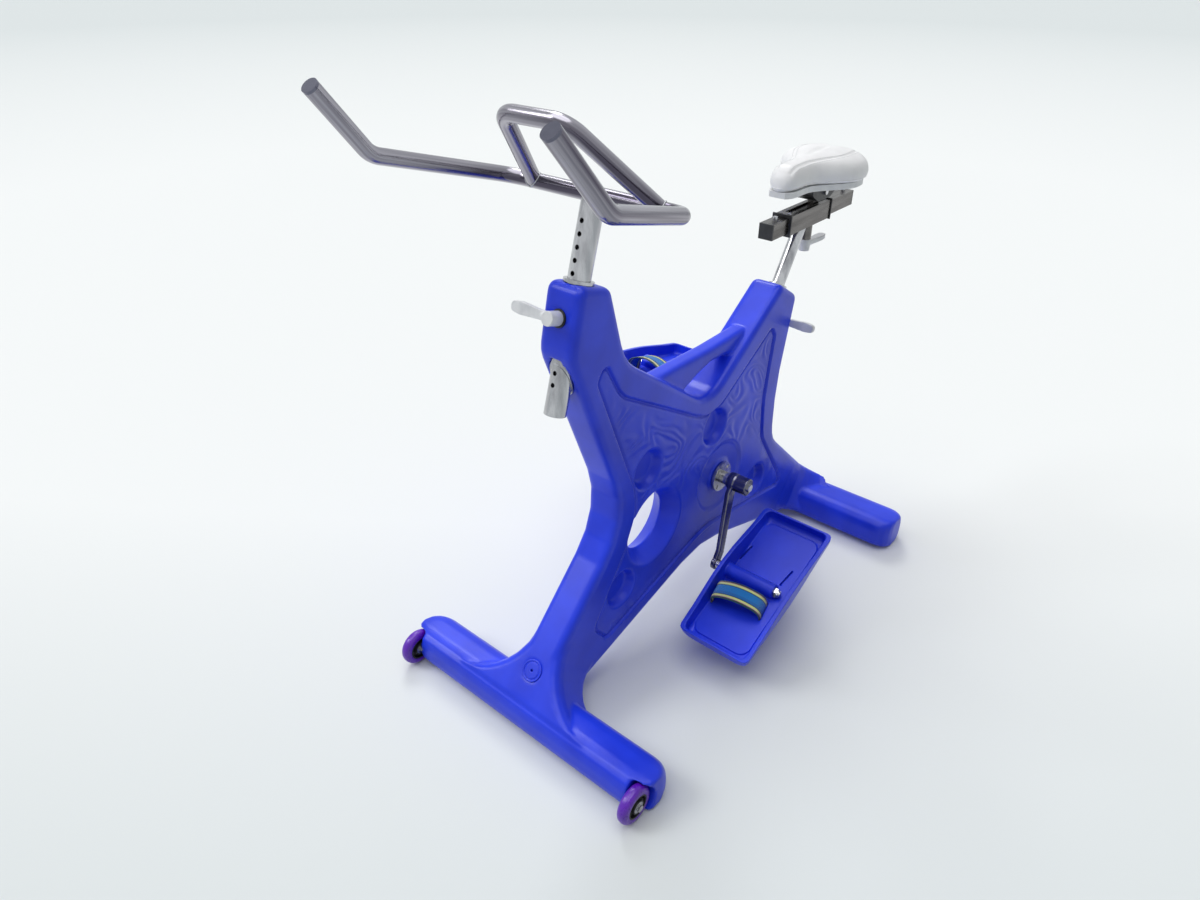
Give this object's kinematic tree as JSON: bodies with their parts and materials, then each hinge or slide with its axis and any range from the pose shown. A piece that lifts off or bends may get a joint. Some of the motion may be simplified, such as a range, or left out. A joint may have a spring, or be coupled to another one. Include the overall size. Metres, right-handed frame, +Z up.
{
  "type": "aqua bike",
  "caption": "Underwater exercise bike with a moulded web body on two floor feet, corner wheels, boat-shaped strap pedals, a raised-grip handlebar and a sliding saddle.",
  "frame": {"origin": "on the floor, under the middle of the box round the whole bike", "axes": "+X to the rider's left, +Y to the rear (the rider faces -Y), +Z up"},
  "size_m": [0.616, 1.2136, 1.159],
  "materials": {
    "body_blue": "satin moulded",
    "steel": "polished stainless",
    "bright": "polished",
    "alloy": "satin",
    "lever": "satin painted",
    "black": "matt",
    "rubber": "matt",
    "wheel_purple": "smooth urethane",
    "brass": "plain",
    "strap_web": "striped webbing",
    "cushion": "smooth white cover"
  },
  "bodies": {
    "base": {"hull": "body_blue", "drain_plug": "body_blue", "head_bush": "steel", "column_bush": "steel", "front_pads": "rubber", "rear_pads": "rubber", "wheel_bolts": "steel", "bearing_flanges": "steel", "crank_bearings": "steel", "head_insert": "brass", "head_washer": "black", "column_insert": "brass", "column_washer": "black"},
    "left_wheel": {"left_tyre": "wheel_purple", "left_wheel_hub": "black", "left_wheel_bearings": "steel"},
    "right_wheel": {"right_tyre": "wheel_purple", "right_wheel_hub": "black", "right_wheel_bearings": "steel"},
    "cranks": {"crank_axle": "steel", "left_crank": "alloy", "right_crank": "alloy", "crank_bolts": "bright", "left_pedal_axle": "steel", "right_pedal_axle": "steel", "pedal_nuts": "bright"},
    "left_pedal": {"left_pedal_tray": "body_blue", "left_pedal_bushes": "black", "left_strap": "strap_web"},
    "right_pedal": {"right_pedal_tray": "body_blue", "right_pedal_bushes": "black", "right_strap": "strap_web"},
    "handlebar": {"handlebar_post": "steel", "handlebar": "steel", "handlebar_loop": "steel", "bar_end_caps": "bright"},
    "head_lever": {"head_lever": "lever", "head_stud": "steel"},
    "column_lever": {"column_lever": "lever", "column_stud": "steel"},
    "seat_post": {"seat_post": "steel", "slider_sleeve": "steel", "sleeve_bushings": "black", "sleeve_screws": "steel"},
    "slider_lever": {"slider_lever": "lever", "slider_stud": "steel"},
    "seat_slide": {"seat_rail": "steel", "rail_caps": "black", "rail_stops": "steel", "saddle_stand": "steel", "saddle_bolt": "steel"},
    "saddle": {"saddle_clamp": "black", "saddle_base": "black", "saddle": "cushion"}
  },
  "joints": [
    {"name": "left_wheel_spin", "type": "hinge", "parent": "base", "child": "left_wheel", "pos_m": [0.289, -0.51212, 0.039], "axis": [1, 0, 0], "continuous": true},
    {"name": "right_wheel_spin", "type": "hinge", "parent": "base", "child": "right_wheel", "pos_m": [-0.289, -0.51212, 0.039], "axis": [1, 0, 0], "continuous": true},
    {"name": "crank_spin", "type": "hinge", "parent": "base", "child": "cranks", "pos_m": [0, 0.10088, 0.301], "axis": [1, 0, 0], "continuous": true},
    {"name": "left_pedal_spin", "type": "hinge", "parent": "cranks", "child": "left_pedal", "pos_m": [0.2, 0.01088, 0.14512], "axis": [1, 0, 0], "continuous": true},
    {"name": "right_pedal_spin", "type": "hinge", "parent": "cranks", "child": "right_pedal", "pos_m": [-0.2, 0.19088, 0.45688], "axis": [1, 0, 0], "continuous": true},
    {"name": "handlebar_height", "type": "slide", "parent": "base", "child": "handlebar", "axis": [0, 0.2823, 0.9593], "range_m": [-0.08, 0.08]},
    {"name": "head_lever_turn", "type": "hinge", "parent": "base", "child": "head_lever", "pos_m": [0, -0.36397, 0.81141], "axis": [0, -0.9593, 0.2823], "range_deg": [-60, 60]},
    {"name": "column_lever_turn", "type": "hinge", "parent": "base", "child": "column_lever", "pos_m": [0, 0.34514, 0.57801], "axis": [0, 0.9837, -0.1801], "range_deg": [-60, 60]},
    {"name": "seat_height", "type": "slide", "parent": "base", "child": "seat_post", "axis": [0, 0.515, 0.8572], "range_m": [-0.04, 0.08]},
    {"name": "slider_lever_turn", "type": "hinge", "parent": "seat_post", "child": "slider_lever", "pos_m": [0, 0.43078, 0.745], "axis": [0, 0, -1], "range_deg": [-60, 60]},
    {"name": "saddle_fore_aft", "type": "slide", "parent": "seat_post", "child": "seat_slide", "axis": [0, 1, 0], "range_m": [-0.088, 0.022]},
    {"name": "saddle_tilt", "type": "hinge", "parent": "seat_slide", "child": "saddle", "pos_m": [0, 0.44478, 0.848], "axis": [1, 0, 0], "range_deg": [-6, 6]}
  ]
}
